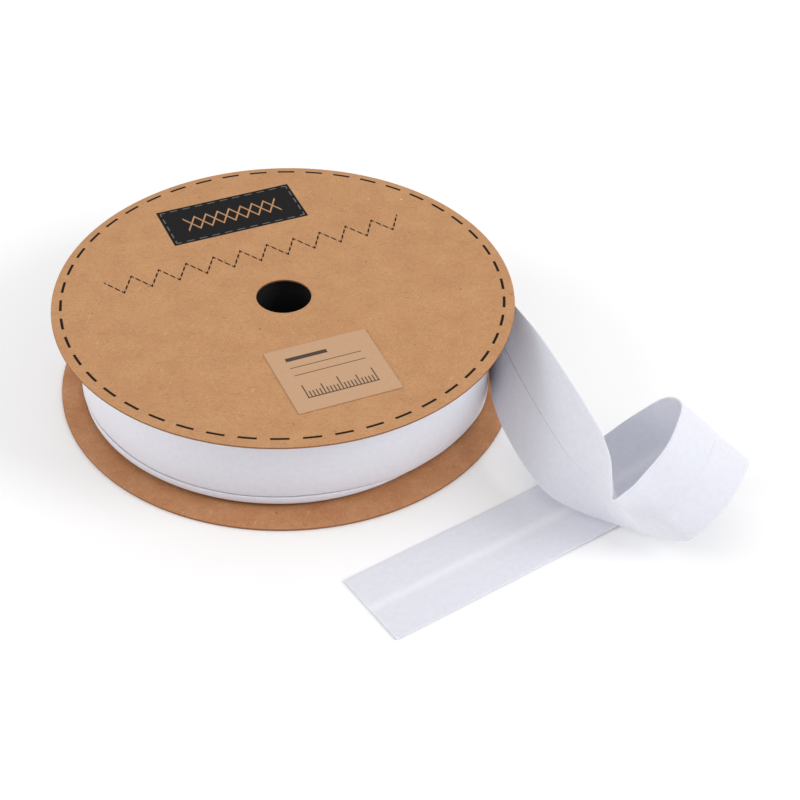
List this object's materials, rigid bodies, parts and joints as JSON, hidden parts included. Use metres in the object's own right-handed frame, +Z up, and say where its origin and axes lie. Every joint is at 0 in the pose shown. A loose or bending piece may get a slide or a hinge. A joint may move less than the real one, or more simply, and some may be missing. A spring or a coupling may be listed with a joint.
{
  "type": "roll of bias tape",
  "caption": "Round card reel lying flat, wound with white folded bias tape, its loose end looped over itself and lying on the table.",
  "frame": {"origin": "on the table, at the middle of the whole part's footprint: reel and loose tape together", "axes": "+Z up, along the reel's axis; +X from the reel towards the loop of loose tape; -Y towards the viewer, where the cut end lies"},
  "size_m": [0.191, 0.1694, 0.0357],
  "materials": {
    "kraft_card": "uncoated brown kraft card",
    "dark_core": "dark matte card tube",
    "bias_tape": "white plain-weave polyester and cotton, pressed",
    "sticker_paper": "smooth kraft label paper"
  },
  "bodies": {
    "root": {"flange_bottom": "kraft_card", "flange_top": "kraft_card", "reel_core": "dark_core", "roll_wound": "bias_tape", "tail_tape": "bias_tape", "label_sticker": "sticker_paper"}
  },
  "joints": []
}
